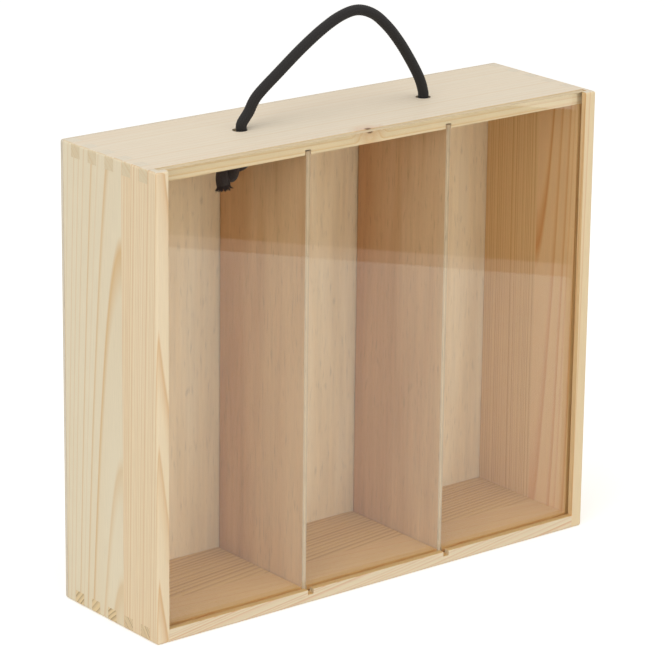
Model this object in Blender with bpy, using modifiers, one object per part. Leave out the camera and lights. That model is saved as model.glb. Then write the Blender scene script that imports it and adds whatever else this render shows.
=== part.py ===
"""Pine gift box for three beer bottles.

Four finger-jointed boards make the frame. A thin plywood back is pinned on behind, two
plywood dividers slide into dados, a clear sheet slides up out of its grooves as the lid,
and a knotted cord through the top board is the handle.

Metres, +Z up. The front looks along -Y, and the origin is the middle of the base.
"""

import math

import bmesh
import bpy
from mathutils import Matrix, Vector

# Outside sizes of the closed box
box_width = 0.327
box_depth = 0.094
box_height = 0.280
arris_radius = 0.0016
arris_segments = 3

# Boards and their finger joints; the side boards hold the first and the last finger
board_thickness = 0.0082
back_thickness = 0.003
finger_count = 11
fit_gap = 0.0003

# Clear lid and the grooves that it slides in
lip_thickness = 0.0037
groove_depth = 0.004
lid_thickness = 0.004
lid_side_clearance = 0.0005
lid_seat_depth = 0.003
lid_arris = 0.0003

# Plywood dividers and their dados; each divider stands loose, a little to the right, and leans
bay_count = 3
divider_thickness = 0.0032
dado_depth = 0.003
dado_clearance = 0.001
divider_setback = 0.0006
divider_shift = 0.0002
divider_lean = 0.00095
divider_top_gap = 0.0009

# Cord handle: two holes in the top board, an arch above them and a knot under each
hole_spacing = 0.1374
hole_diameter = 0.009
cord_diameter = 0.0065
arch_height = 0.056
knot_width = 0.021
knot_depth = 0.018
knot_height = 0.0165
knot_offset = 0.0035
tail_diameter = 0.0075
tail_length = 0.015
tail_lean = math.radians(22)
tail_offset_share = 0.25

# The cord's route above the board, chosen by eye: (share of the hole spacing from the left
# hole, share of the arch's height above the pivot)
arch_shares = (
    (0.010, 0.000),
    (0.045, 0.107),
    (0.090, 0.265),
    (0.206, 0.479),
    (0.328, 0.693),
    (0.440, 0.861),
    (0.535, 0.965),
    (0.625, 1.000),
    (0.712, 0.930),
    (0.790, 0.776),
    (0.858, 0.588),
    (0.922, 0.368),
    (0.975, 0.153),
    (0.998, 0.000),
)
arch_point_spacing = 2.0

# Panel pins through the back
pin_diameter = 0.0014
pin_length = 0.014
pin_head_diameter = 0.0028
pin_head_thickness = 0.0006
pins_across = 5
pins_up = 2

# How far a cutter runs past what it cuts, how close points merge, and the sides of round pieces
overrun = 0.002
weld_distance = 0.00002
hole_sides = 32
cord_bevel_resolution = 3
ball_segments = 24
ball_rings = 12
pin_sides = 12

# Places worked out from the sizes above
half_width = box_width / 2
past_width = half_width + 2 * overrun
past_base = -2 * overrun
past_top = box_height + 2 * overrun
front = -box_depth / 2
back = box_depth / 2
panel_front = back - back_thickness
frame_back = panel_front - fit_gap
finger_pitch = (frame_back - front) / finger_count
top_board_front = front + finger_pitch + fit_gap / 2
groove_front = front + lip_thickness
groove_back = top_board_front
inside_left = -half_width + board_thickness
inside_right = half_width - board_thickness
floor_top = board_thickness
ceiling = box_height - board_thickness
lid_centre_y = (groove_front + groove_back) / 2
bay_width = (inside_right - inside_left - (bay_count - 1) * divider_thickness) / bay_count
cord_y = (top_board_front + frame_back) / 2
cord_radius = cord_diameter / 2
pivot_height = box_height + cord_radius + fit_gap


def empty_scene():
    """Removes every object of the open file."""
    for old in list(bpy.data.objects):
        bpy.data.objects.remove(old, do_unlink=True)


def new_collection(name):
    collection = bpy.data.collections.new(name)
    bpy.context.scene.collection.children.link(collection)
    return collection


def new_material(name, colour, roughness, metallic=0.0, alpha=1.0):
    material = bpy.data.materials.new(name)
    material.use_nodes = True
    surface = material.node_tree.nodes["Principled BSDF"]
    surface.inputs["Base Color"].default_value = (*colour, 1.0)
    surface.inputs["Roughness"].default_value = roughness
    surface.inputs["Metallic"].default_value = metallic
    surface.inputs["Alpha"].default_value = alpha
    return material


def put(piece, collection, name, material=None):
    """Names a new object, moves it to its collection and gives it its material."""
    for home in list(piece.users_collection):
        home.objects.unlink(piece)
    collection.objects.link(piece)
    piece.name = name
    piece.data.name = name
    if material is not None:
        piece.data.materials.clear()
        piece.data.materials.append(material)
    return piece


def as_cutter(piece):
    piece.hide_render = True
    piece.display_type = "WIRE"
    return piece


def block(name, low, high, collection, material=None):
    """A box between two corners, with its origin in its middle."""
    low = Vector(low)
    high = Vector(high)
    bpy.ops.mesh.primitive_cube_add(size=1, location=(low + high) / 2)
    piece = put(bpy.context.object, collection, name, material)
    piece.data.transform(Matrix.Diagonal((*(high - low), 1)))
    return piece


def cutting_blocks(name, corners):
    """One cutter of several separate boxes, each given by its two corners."""
    mesh = bpy.data.meshes.new(name)
    shape = bmesh.new()
    for low, high in corners:
        low = Vector(low)
        high = Vector(high)
        size = Matrix.Diagonal((*(high - low), 1))
        bmesh.ops.create_cube(shape, size=1, matrix=Matrix.Translation((low + high) / 2) @ size)
    shape.to_mesh(mesh)
    shape.free()
    cutter = bpy.data.objects.new(name, mesh)
    cutters.objects.link(cutter)
    return as_cutter(cutter)


def rod(name, start, end, diameter, sides, collection, material=None):
    """A round bar between two points, with its origin in its middle."""
    start = Vector(start)
    end = Vector(end)
    along = end - start
    bpy.ops.mesh.primitive_cylinder_add(
        vertices=sides, radius=diameter / 2, depth=along.length, location=(start + end) / 2
    )
    piece = put(bpy.context.object, collection, name, material)
    piece.rotation_mode = "QUATERNION"
    piece.rotation_quaternion = along.to_track_quat("Z", "Y")
    return piece


def ball(name, centre, size, collection, material=None):
    """A ball, or an egg of three unlike diameters."""
    bpy.ops.mesh.primitive_uv_sphere_add(
        segments=ball_segments, ring_count=ball_rings, radius=1, location=centre
    )
    piece = put(bpy.context.object, collection, name, material)
    piece.data.transform(Matrix.Diagonal((*(Vector(size) / 2), 1)))
    piece.data.shade_smooth()
    return piece


def boolean(piece, other, operation="DIFFERENCE"):
    modifier = piece.modifiers.new(operation.title() + " " + other.name, "BOOLEAN")
    modifier.operation = operation
    modifier.solver = "EXACT"
    modifier.object = other
    return piece


def pierce(piece):
    """Cuts all the pins' holes at once."""
    modifier = piece.modifiers.new("Pin holes", "BOOLEAN")
    modifier.operation = "DIFFERENCE"
    modifier.solver = "EXACT"
    modifier.operand_type = "COLLECTION"
    modifier.collection = pin_holes
    return piece


def outer_envelope():
    """The closed box as one block with rounded arrises: it sands every board to one skin."""
    low = (-half_width, front, 0)
    high = (half_width, back, box_height)
    envelope = as_cutter(block("outer_envelope", low, high, cutters))
    bevel = envelope.modifiers.new("Rounded arrises", "BEVEL")
    bevel.width = arris_radius
    bevel.segments = arris_segments
    bevel.limit_method = "NONE"
    return envelope


def finger_span(index):
    """Where finger number index lies along the depth, from the front."""
    start = front + index * finger_pitch
    return start, start + finger_pitch


def side_notches():
    """The spaces between the side boards' fingers, at both ends and on both sides."""
    corners = []
    reach = board_thickness + fit_gap
    for index in range(1, finger_count, 2):
        start, end = finger_span(index)
        start -= fit_gap / 2
        end += fit_gap / 2
        corners.append(((-past_width, start, past_base), (past_width, end, reach)))
        corners.append(((-past_width, start, box_height - reach), (past_width, end, past_top)))
    return cutting_blocks("side_notches", corners)


def end_notches(first_index):
    """The spaces between the fingers of the top and bottom boards, at both ends."""
    corners = []
    reach = board_thickness + fit_gap
    for index in range(first_index, finger_count, 2):
        start, end = finger_span(index)
        start -= 2 * overrun if index == 0 else fit_gap / 2
        end += overrun if index == finger_count - 1 else fit_gap / 2
        corners.append(((-past_width, start, past_base), (-half_width + reach, end, past_top)))
        corners.append(((half_width - reach, start, past_base), (past_width, end, past_top)))
    return cutting_blocks("end_notches_from_" + str(first_index), corners)


def side_board(name, side):
    """A side board, side -1 on the left and 1 on the right."""
    inner = side * (half_width - board_thickness)
    outer = side * (half_width + overrun)
    low = (min(inner, outer), front - overrun, -overrun)
    high = (max(inner, outer), frame_back, box_height + overrun)
    board = block(name, low, high, box, pine)
    boolean(board, notches_in_sides)
    groove_inner = inner - side * overrun
    groove_outer = inner + side * groove_depth
    groove = cutting_blocks(
        name + "_lid_groove",
        [
            (
                (min(groove_inner, groove_outer), groove_front, floor_top - lid_seat_depth),
                (max(groove_inner, groove_outer), groove_back, past_top),
            )
        ],
    )
    boolean(board, groove)
    return boolean(board, envelope, "INTERSECT")


def divider_centres():
    """The dividers' middles across the width, from the left."""
    step = bay_width + divider_thickness
    first = inside_left + bay_width + divider_thickness / 2
    return [first + index * step for index in range(bay_count - 1)]


def dados(name, low_z, high_z):
    """The slots for the dividers, right through from the front to the back."""
    half_slot = (divider_thickness + dado_clearance) / 2
    return cutting_blocks(
        name,
        [
            ((x - half_slot, front - overrun, low_z), (x + half_slot, frame_back + overrun, high_z))
            for x in divider_centres()
        ],
    )


def top_board():
    """The top board: its front edge is one finger back, behind the lid, and is eased too."""
    low = (-half_width - overrun, top_board_front, ceiling)
    high = (half_width + overrun, frame_back, box_height + overrun)
    board = block("top_board", low, high, box, pine)
    boolean(board, end_notches(2))
    boolean(board, dados("top_dados", ceiling - overrun, ceiling + dado_depth))
    for side in (-1, 1):
        x = side * hole_spacing / 2
        hole = rod(
            "cord_hole_" + ("left" if side < 0 else "right"),
            (x, cord_y, ceiling - overrun),
            (x, cord_y, box_height + overrun),
            hole_diameter,
            hole_sides,
            cutters,
        )
        boolean(board, as_cutter(hole))
    eased = block(
        "top_board_envelope",
        (-half_width - overrun, top_board_front, ceiling - overrun),
        (half_width + overrun, back + overrun, box_height),
        cutters,
    )
    bevel = eased.modifiers.new("Eased front arris", "BEVEL")
    bevel.width = arris_radius
    bevel.segments = arris_segments
    bevel.limit_method = "NONE"
    boolean(board, as_cutter(eased), "INTERSECT")
    return boolean(board, envelope, "INTERSECT")


def bottom_board():
    """The bottom board runs to the very front and holds the lid's seat groove."""
    low = (-half_width - overrun, front - overrun, -overrun)
    high = (half_width + overrun, frame_back, floor_top)
    board = block("bottom_board", low, high, box, pine)
    boolean(board, end_notches(0))
    boolean(board, dados("bottom_dados", floor_top - dado_depth, floor_top + overrun))
    seat = cutting_blocks(
        "lid_seat_groove",
        [
            (
                (-half_width, groove_front, floor_top - lid_seat_depth),
                (half_width, groove_back, floor_top + overrun),
            )
        ],
    )
    boolean(board, seat)
    return boolean(board, envelope, "INTERSECT")


def pin_places():
    """Where the pins go through the back: along each board's middle line."""
    edge = board_thickness / 2
    across = half_width - edge
    places = []
    for index in range(pins_across):
        share = index / (pins_across - 1)
        x = -across + 2 * across * share
        places.append((x, edge))
        places.append((x, box_height - edge))
    for index in range(1, pins_up + 1):
        z = edge + (box_height - 2 * edge) * index / (pins_up + 1)
        places.append((-across, z))
        places.append((across, z))
    return places


def turned_pin(name, x, z, grown, past_back, collection, material=None):
    """A pin, or its hole if grown: a shank and a flat head turned on one axis along Y."""
    shank = pin_diameter / 2 + grown
    head = pin_head_diameter / 2 + grown
    under_head = -pin_head_thickness - grown
    tip = -pin_length - grown
    profile = [
        (0, 0, past_back),
        (head, 0, past_back),
        (head, 0, under_head),
        (shank, 0, under_head),
        (shank, 0, tip),
        (0, 0, tip),
    ]
    mesh = bpy.data.meshes.new(name)
    mesh.from_pydata(profile, list(zip(range(len(profile)), range(1, len(profile)))), [])
    pin = bpy.data.objects.new(name, mesh)
    put(pin, collection, name, material)
    pin.location = (x, back - fit_gap, z)
    pin.rotation_euler = (math.radians(-90), 0, 0)
    screw = pin.modifiers.new("Turned", "SCREW")
    screw.steps = pin_sides
    screw.render_steps = pin_sides
    screw.use_merge_vertices = True
    screw.merge_threshold = weld_distance
    return pin


def pin_clearance_holes():
    """The holes that the pins sit in, a little wider and deeper than the pins."""
    holes = bpy.data.collections.new("pin_holes")
    cutters.children.link(holes)
    for number, (x, z) in enumerate(pin_places(), 1):
        as_cutter(turned_pin(f"pin_hole_{number:02d}", x, z, fit_gap, overrun, holes))
    return holes


def back_panel_pins():
    """The pins, heads just below the plywood's face."""
    for number, (x, z) in enumerate(pin_places(), 1):
        turned_pin(f"back_panel_pin_{number:02d}", x, z, 0, 0, box, steel)


def back_panel():
    """The plywood back, flush with the frame all round."""
    low = (-half_width - overrun, panel_front, -overrun)
    high = (half_width + overrun, back + overrun, box_height + overrun)
    panel = block("back_panel", low, high, box, plywood)
    boolean(panel, envelope, "INTERSECT")
    return pierce(panel)


def divider(name, x):
    """A plywood divider in its dados, from behind the lid to the back panel."""
    left = x + divider_shift - divider_thickness / 2
    bottom = floor_top - dado_depth + fit_gap
    top = ceiling + dado_depth - divider_top_gap
    low = (left, top_board_front + divider_setback, bottom)
    high = (left + divider_thickness, frame_back, top)
    sheet = block(name, low, high, box, plywood)
    sheet.rotation_euler = (0, divider_lean, 0)
    return sheet


def sliding_lid():
    """The clear lid, under an empty on its slide line at the seat."""
    guide = bpy.data.objects.new("lid_guide", None)
    box.objects.link(guide)
    guide.location = (0, lid_centre_y, floor_top - lid_seat_depth + fit_gap)
    reach = half_width - board_thickness + groove_depth - lid_side_clearance
    low = (-reach, lid_centre_y - lid_thickness / 2, guide.location.z)
    high = (reach, lid_centre_y + lid_thickness / 2, box_height - fit_gap)
    sheet = block("clear_sliding_lid", low, high, box, acrylic)
    bevel = sheet.modifiers.new("Eased edges", "BEVEL")
    bevel.width = lid_arris
    bevel.segments = 1
    bevel.limit_method = "NONE"
    hang(sheet, guide)
    return sheet


def hang(piece, empty):
    """Parents a piece to an empty and leaves it where it is."""
    bpy.context.view_layer.update()
    piece.parent = empty
    piece.matrix_parent_inverse = empty.matrix_world.inverted()


def smooth_route(points, step):
    """Points about step apart on a smooth curve through all the given ones."""
    ends = [2 * points[0] - points[1]] + list(points) + [2 * points[-1] - points[-2]]
    route = []
    for index in range(1, len(ends) - 2):
        before, start, end, after = ends[index - 1 : index + 3]
        pieces = max(1, round((end - start).length / step))
        for part in range(pieces):
            t = part / pieces
            route.append(
                0.5
                * (
                    2 * start
                    + (end - before) * t
                    + (2 * before - 5 * start + 4 * end - after) * t**2
                    + (3 * start - before - 3 * end + after) * t**3
                )
            )
    return route + [points[-1]]


def cord_tube(name, route, collection, material=None):
    """A round tube along a route, as a closed mesh."""
    curve = bpy.data.curves.new(name + "_curve", "CURVE")
    curve.dimensions = "3D"
    curve.bevel_depth = cord_radius
    curve.bevel_resolution = cord_bevel_resolution
    curve.use_fill_caps = True
    spline = curve.splines.new("POLY")
    spline.points.add(len(route) - 1)
    for point, place in zip(spline.points, route):
        point.co = (*place, 1)
    guide = bpy.data.objects.new(name + "_curve", curve)
    collection.objects.link(guide)
    bpy.context.view_layer.update()
    evaluated = guide.evaluated_get(bpy.context.evaluated_depsgraph_get())
    mesh = bpy.data.meshes.new_from_object(evaluated)
    shape = bmesh.new()
    shape.from_mesh(mesh)
    bmesh.ops.remove_doubles(shape, verts=shape.verts, dist=weld_distance)
    bmesh.ops.recalc_face_normals(shape, faces=shape.faces)
    shape.to_mesh(mesh)
    shape.free()
    tube = bpy.data.objects.new(name, mesh)
    tube.matrix_world = guide.matrix_world
    bpy.data.objects.remove(guide, do_unlink=True)
    put(tube, collection, name, material)
    tube.data.shade_smooth()
    return tube


def rope_handle():
    """The cord's arch, with round ends on the line that it swings about."""
    pivot = bpy.data.objects.new("handle_pivot", None)
    box.objects.link(pivot)
    pivot.location = (0, cord_y, pivot_height)
    left = Vector((-hole_spacing / 2, cord_y, pivot_height))
    chosen = [
        left + Vector((across * hole_spacing, 0, up * arch_height)) for across, up in arch_shares
    ]
    route = smooth_route(chosen, arch_point_spacing * cord_diameter)
    arch = cord_tube("rope_handle", route, box, cord)
    round_size = (cord_diameter, cord_diameter, cord_diameter)
    for name, place in (("rope_end_left", route[0]), ("rope_end_right", route[-1])):
        end = ball(name, place, round_size, cutters)
        boolean(arch, as_cutter(end), "UNION")
    hang(arch, pivot)
    return arch


def rope_knot(name, side):
    """The cord in its hole, the knot under the board and the tail, side -1 on the left.

    Knot and tail lie away from the divider beside them.
    """
    x = side * hole_spacing / 2
    knot_x = x + side * knot_offset
    knot_z = ceiling - fit_gap - knot_height / 2
    lump = ball(name, (knot_x, cord_y, knot_z), (knot_width, knot_depth, knot_height), box, cord)
    stem = rod(
        name + "_stem", (x, cord_y, knot_z), (x, cord_y, box_height), cord_diameter,
        hole_sides, cutters,
    )
    boolean(lump, as_cutter(stem), "UNION")
    tail_start = Vector((knot_x + side * tail_offset_share * knot_width, cord_y, knot_z))
    tail_way = Vector((side * math.sin(tail_lean), 0, -math.cos(tail_lean)))
    tail_end = tail_start + tail_way * (knot_height / 2 + tail_length - fit_gap)
    tail = rod(name + "_tail", tail_start, tail_end, tail_diameter, hole_sides, cutters)
    return boolean(lump, as_cutter(tail), "UNION")


empty_scene()
box = new_collection("beer_bottle_box")
cutters = new_collection("cutters")
pine = new_material("pine", (0.80, 0.66, 0.46), 0.55)
plywood = new_material("plywood", (0.66, 0.47, 0.30), 0.6)
acrylic = new_material("clear_acrylic", (0.95, 0.97, 0.97), 0.05, alpha=0.15)
cord = new_material("black_cord", (0.025, 0.022, 0.02), 0.85)
steel = new_material("pin_steel", (0.55, 0.55, 0.55), 0.35, metallic=1.0)

envelope = outer_envelope()
notches_in_sides = side_notches()
pin_holes = pin_clearance_holes()
for board in (
    side_board("left_side_board", -1),
    side_board("right_side_board", 1),
    top_board(),
    bottom_board(),
):
    pierce(board)
back_panel()
back_panel_pins()
for divider_name, divider_x in zip(("divider_left", "divider_right"), divider_centres()):
    divider(divider_name, divider_x)
sliding_lid()
rope_handle()
rope_knot("rope_knot_left", -1)
rope_knot("rope_knot_right", 1)
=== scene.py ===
# %% [markdown]
# The looks of a pine box for three beer bottles.
#
# Four finger-jointed pine boards make the frame of the box. A thin plywood back is pinned on, two
# plywood dividers stand in dados, a clear acrylic sheet slides up as the lid, and one length of black
# braided cord, knotted under the top board, is the handle. Their solids and joints come from a
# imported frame. This lesson gives each piece its finished shape and its surface, one cell at a time.

# %% Load the frame
import math

import bmesh
import bpy
import numpy as np
from mathutils import Matrix, Vector


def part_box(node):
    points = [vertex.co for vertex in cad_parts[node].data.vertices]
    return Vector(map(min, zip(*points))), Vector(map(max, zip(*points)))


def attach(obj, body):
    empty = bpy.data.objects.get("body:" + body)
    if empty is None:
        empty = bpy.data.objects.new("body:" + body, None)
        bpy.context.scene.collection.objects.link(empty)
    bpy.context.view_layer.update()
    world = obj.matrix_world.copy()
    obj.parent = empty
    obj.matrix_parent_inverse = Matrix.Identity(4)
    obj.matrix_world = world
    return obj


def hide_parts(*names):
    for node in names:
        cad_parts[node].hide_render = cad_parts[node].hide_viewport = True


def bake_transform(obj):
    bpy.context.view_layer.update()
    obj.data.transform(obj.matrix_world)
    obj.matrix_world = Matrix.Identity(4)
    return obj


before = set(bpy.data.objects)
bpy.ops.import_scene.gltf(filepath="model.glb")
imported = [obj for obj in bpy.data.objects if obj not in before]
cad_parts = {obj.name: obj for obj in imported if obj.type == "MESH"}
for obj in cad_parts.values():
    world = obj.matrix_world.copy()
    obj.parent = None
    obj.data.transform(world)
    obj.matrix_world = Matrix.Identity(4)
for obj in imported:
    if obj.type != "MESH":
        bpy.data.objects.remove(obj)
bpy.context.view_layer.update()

MM = 0.001

# %% [markdown]
# Everything below takes its place from the solids' boxes, so the sizes are read from them once: the
# thickness of a board, the inside of the box and the pitch of the finger joints.

# %% Sizes read from the frame
left_low, left_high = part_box("left_side_board")
right_low, right_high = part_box("right_side_board")
top_low, top_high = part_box("top_board")
bottom_low, bottom_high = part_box("bottom_board")
panel_low, panel_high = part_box("back_panel")
lid_low, lid_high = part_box("clear_sliding_lid")

board = left_high.x - left_low.x
front, frame_back, back = left_low.y, left_high.y, panel_high.y
floor_top, ceiling, height = bottom_high.z, top_low.z, top_high.z
FINGERS = 11
pitch = (frame_back - front) / FINGERS
print(f"boards {board / MM:.1f} mm, fingers {pitch / MM:.2f} mm wide")

# %% [markdown]
# The camera stands to the left of the front and a little above it, with a long lens. A camera is
# easiest to place by the point that it looks at, the angles that it looks from and its distance.

# %% Camera
IMAGE_PIXELS = 665
FOCAL_PIXELS = 3512.9
SENSOR = 36.0
LOOK_AT = Vector((-0.0383, -0.0470, 0.1648))
DISTANCE = 2.0358
AZIMUTH, ELEVATION, ROLL = (math.radians(angle) for angle in (-38.684, 17.551, 0.697))


def new_object(name, data):
    """An object with this data, in the scene."""
    made = bpy.data.objects.new(name, data)
    bpy.context.scene.collection.objects.link(made)
    return made


level = math.cos(ELEVATION)
back_way = Vector((math.sin(AZIMUTH) * level, -math.cos(AZIMUTH) * level, math.sin(ELEVATION)))
level_right = (-back_way).cross(Vector((0, 0, 1))).normalized()
level_up = level_right.cross(-back_way)
right_way = level_right * math.cos(ROLL) + level_up * math.sin(ROLL)
up_way = level_up * math.cos(ROLL) - level_right * math.sin(ROLL)
camera = new_object("camera", bpy.data.cameras.new("camera"))
camera.data.sensor_width = SENSOR
camera.data.lens = FOCAL_PIXELS / IMAGE_PIXELS * SENSOR
camera_place = Matrix((right_way, up_way, back_way)).transposed().to_4x4()
camera_place.translation = LOOK_AT + back_way * DISTANCE
camera.matrix_world = camera_place
bpy.context.scene.camera = camera
print("lens, mm:", round(camera.data.lens, 1), "camera at", [round(v, 3) for v in camera.location])

# %% [markdown]
# Two helpers serve all the node trees of this lesson. One turns a colour as it is written for a
# screen, in sRGB, into the linear values that Blender works in. The other adds a node to a tree
# with its settings and fills its inputs with numbers, colours or links.

# %% Helpers for nodes and colours
NODE_FAMILIES = ("GeometryNode", "ShaderNode", "FunctionNode")


def linear(colour):
    """An sRGB hex colour as linear red, green, blue and alpha."""
    shares = [int(colour[start:start + 2], 16) / 255 for start in (1, 3, 5)]
    return (*(s / 12.92 if s <= 0.04045 else ((s + 0.055) / 1.055) ** 2.4 for s in shares), 1.0)


def fill(node, sockets):
    """Fills a node's inputs. A key is a name, or a place among the inputs that are in use.

    A value is a number, a vector, a colour in hex, another node or one of its outputs.
    """
    in_use = [socket for socket in node.inputs if socket.enabled]
    for key, value in sockets.items():
        target = in_use[key] if isinstance(key, int) else node.inputs[key]
        if isinstance(value, bpy.types.Node):
            value = next(socket for socket in value.outputs if socket.enabled)
        if isinstance(value, bpy.types.NodeSocket):
            node.id_data.links.new(value, target)
        elif value is not None:
            target.default_value = linear(value) if str(value).startswith("#") else value


def adder(tree):
    """The function that adds nodes to this tree."""
    def add(kind, *values, sockets=None, **settings):
        """Adds a node. Values fill its inputs in order, sockets fills them by name.

        kind is the node's type without its family, and after a space its operation or data type.
        """
        kind, _, variant = kind.partition(" ")
        node = tree.nodes.new(next(f + kind for f in NODE_FAMILIES if hasattr(bpy.types, f + kind)))
        if variant:
            settings["operation" if hasattr(node, "operation") else "data_type"] = variant
        for name, setting in settings.items():
            setattr(node, name, setting)
        fill(node, {**dict(enumerate(values)), **(sockets or {})})
        return node
    return add


print("linear pine:", [round(value, 3) for value in linear("#DCCDB0")])

# %% [markdown]
# The cord is one length of rope: a tail, an overhand knot against the underside of the top board,
# up through the left hole, an arch, down through the right hole, and a second knot and tail. The
# arch stands up by the cord's own stiffness. Its points are the ones that its solid follows, as
# shares of the distance between the holes and of the arch's height.

# %% The arch of the cord
CORD_DIAMETER = 0.0065
CORD_RADIUS = CORD_DIAMETER / 2
HOLE_SPACING = 0.1374
HOLE_DIAMETER = 0.009
ARCH_HEIGHT = 0.056
ARCH_SHARES = (
    (0.010, 0.000), (0.045, 0.107), (0.090, 0.265), (0.206, 0.479), (0.328, 0.693),
    (0.440, 0.861), (0.535, 0.965), (0.625, 1.000), (0.712, 0.930), (0.790, 0.776),
    (0.858, 0.588), (0.922, 0.368), (0.975, 0.153), (0.998, 0.000))
cord_y = (top_low.y + frame_back) / 2
pivot_height = height + CORD_RADIUS + 0.3 * MM
left_pivot = np.array((-HOLE_SPACING / 2, cord_y, pivot_height))
arch = left_pivot + [(across * HOLE_SPACING, 0, up * ARCH_HEIGHT) for across, up in ARCH_SHARES]
print("arch points:", len(arch), "highest, mm:", round(arch[:, 2].max() / MM, 1))

# %% [markdown]
# A knot is hard to draw, but easy to tighten. An open trefoil curve is already an overhand knot,
# only a loose one. Here the rope is a chain of points that is smoothed and drawn shorter again and
# again, while points that come closer than the rope is thick, or than it can bend, are pushed
# apart, and the board above keeps them all down. What is left is the snug, lopsided lump of a real
# knot. The cord leans in its hole, which is wider than the cord.

# %% The loose knot
KNOT_POINTS = 72
TREFOIL_POINTS = 120
TREFOIL_OPENING = 0.22
LOOSE_SIZE = 0.0045
LOOSE_CENTRE = (-0.0735, cord_y, 0.240)
LOOSE_PULL = (0.25, 0, 0.97)
HOLE_TOP = np.array((-0.0675, cord_y, height - 0.5 * MM))
HOLE_BOTTOM = np.array((-0.0678, cord_y, ceiling))
TAIL_END = np.array((-0.0815, cord_y, 0.2493))


def steps_between(line):
    """The distance from each point of a line to the next."""
    return np.linalg.norm(np.diff(line, axis=0), axis=1)


def even_points(line, count):
    """The same line with its points evenly spaced."""
    along = np.concatenate([[0], np.cumsum(steps_between(line))])
    places = np.linspace(0, along[-1], count)
    return np.stack([np.interp(places, along, line[:, k]) for k in range(3)], axis=1)


def loose_knot():
    """From the hole, round a wide trefoil below the board, to the end of the tail."""
    turn = np.linspace(math.pi + TREFOIL_OPENING, 3 * math.pi - TREFOIL_OPENING, TREFOIL_POINTS)
    trefoil = LOOSE_SIZE * np.column_stack((
        np.sin(turn) + 2 * np.sin(2 * turn),
        np.cos(turn) - 2 * np.cos(2 * turn),
        0.9 * np.sin(3 * turn),
    ))
    pull = Vector(LOOSE_PULL).normalized()
    side = pull.cross(Vector((0, -1, 0))).normalized()
    loop = np.array(LOOSE_CENTRE) + trefoil @ np.array((pull, -pull.cross(side), -side))
    lead_in = (HOLE_TOP, HOLE_BOTTOM, HOLE_BOTTOM - (0, 0, CORD_DIAMETER))
    lead_out = (loop[-1] - (0.004, 0, 0.012), TAIL_END)
    return even_points(np.vstack((lead_in, loop, lead_out)), KNOT_POINTS)


left_knot = loose_knot()
print("loose knot, mm:", round(steps_between(left_knot).sum() / MM, 1))

# %% The knot, tightened
KNOT_ROUNDS = 2600
KNOT_LENGTH = 0.112
DRAWING_SHARE = 0.7
THIN_START = 0.45
BEND_SHARE = 0.85
LENGTH_PASSES = 6
PUSH = 0.25
LIFT = 0.01 * MM


def relax(rope, amount):
    """Moves each point but the two ends towards the middle of its neighbours."""
    rope[1:-1] += amount * ((rope[:-2] + rope[2:]) / 2 - rope[1:-1])


def tighten(rope):
    """Draws the chain of points to its short length and keeps it out of itself and the board."""
    loose_step = steps_between(rope).mean()
    tight_step = KNOT_LENGTH / (KNOT_POINTS - 1)
    first, second = np.triu_indices(KNOT_POINTS, k=2)
    for count in range(KNOT_ROUNDS):
        share = min(1.0, count / (DRAWING_SHARE * KNOT_ROUNDS))
        step = loose_step + (tight_step - loose_step) * share
        relax(rope, 0.15)
        for odd in (0, 1) * LENGTH_PASSES:
            start = np.arange(odd, KNOT_POINTS - 1, 2)
            span = rope[start + 1] - rope[start]
            long = np.linalg.norm(span, axis=1, keepdims=True)
            correction = 0.5 * (long - step) * span / long
            rope[start] += correction
            rope[start + 1] -= correction
            rope[0], rope[-1] = HOLE_TOP, TAIL_END
        thick = CORD_DIAMETER * min(1.0, THIN_START + share)
        apart = np.minimum(thick, BEND_SHARE * (second - first) * step)
        span = rope[second] - rope[first]
        long = np.linalg.norm(span, axis=1)
        close = long < apart
        push = PUSH * (apart - long)[close][:, None] * span[close] / long[close][:, None]
        np.add.at(rope, first[close], -push)
        np.add.at(rope, second[close], push)
        in_hole = np.arange(KNOT_POINTS) * step < HOLE_TOP[2] - ceiling + CORD_RADIUS
        down = np.clip((HOLE_TOP[2] - rope[in_hole, 2:]) / (HOLE_TOP[2] - ceiling), 0, 1)
        rope[in_hole, :2] = (HOLE_TOP + (HOLE_BOTTOM - HOLE_TOP) * down)[:, :2]
        below = ~in_hole
        rope[below, 2] = np.minimum(rope[below, 2] + LIFT, ceiling - CORD_RADIUS)
        rope[-1] = TAIL_END
    for smoothing in range(4):
        relax(rope, 0.5)


tighten(left_knot)
print("knot spans, mm:", (np.ptp(left_knot, axis=0) / MM + CORD_DIAMETER / MM).round(1))

# %% [markdown]
# The right knot is the left one turned half round about the box's middle, as the same hands would
# tie it, and the cord stands a little straighter in the right hole. Joined end to end, the pieces
# make the route of the whole cord, and a Catmull-Rom curve runs smoothly through its points.

# %% The whole route
RIGHT_SHIFT = 1.2 * MM
right_knot = left_knot * (-1, -1, 1) + (0, 2 * cord_y, 0)
right_knot[:, 0] += RIGHT_SHIFT * np.clip((right_knot[:, 2] - ceiling) / board, 0, 1)
route_points = np.vstack((left_knot[::-1], arch, right_knot))


def smooth_line(points, step):
    """A Catmull-Rom curve through the points, read at even steps."""
    ends = (2 * points[0] - points[1], 2 * points[-1] - points[-2])
    p = np.vstack((ends[0], points, ends[1]))
    a, b, c, d = p[:-3], p[1:-2], p[2:-1], p[3:]
    rows = [0.5 * (2 * b + (c - a) * t + (2 * a - 5 * b + 4 * c - d) * t ** 2
                   + (3 * b - a - 3 * c + d) * t ** 3) for t in np.linspace(0, 1, 12, endpoint=False)]
    line = np.vstack((np.stack(rows, axis=1).reshape(-1, 3), points[-1]))
    return even_points(line, round(steps_between(line).sum() / step) + 1)


route = smooth_line(route_points, 1.0 * MM)

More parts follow.
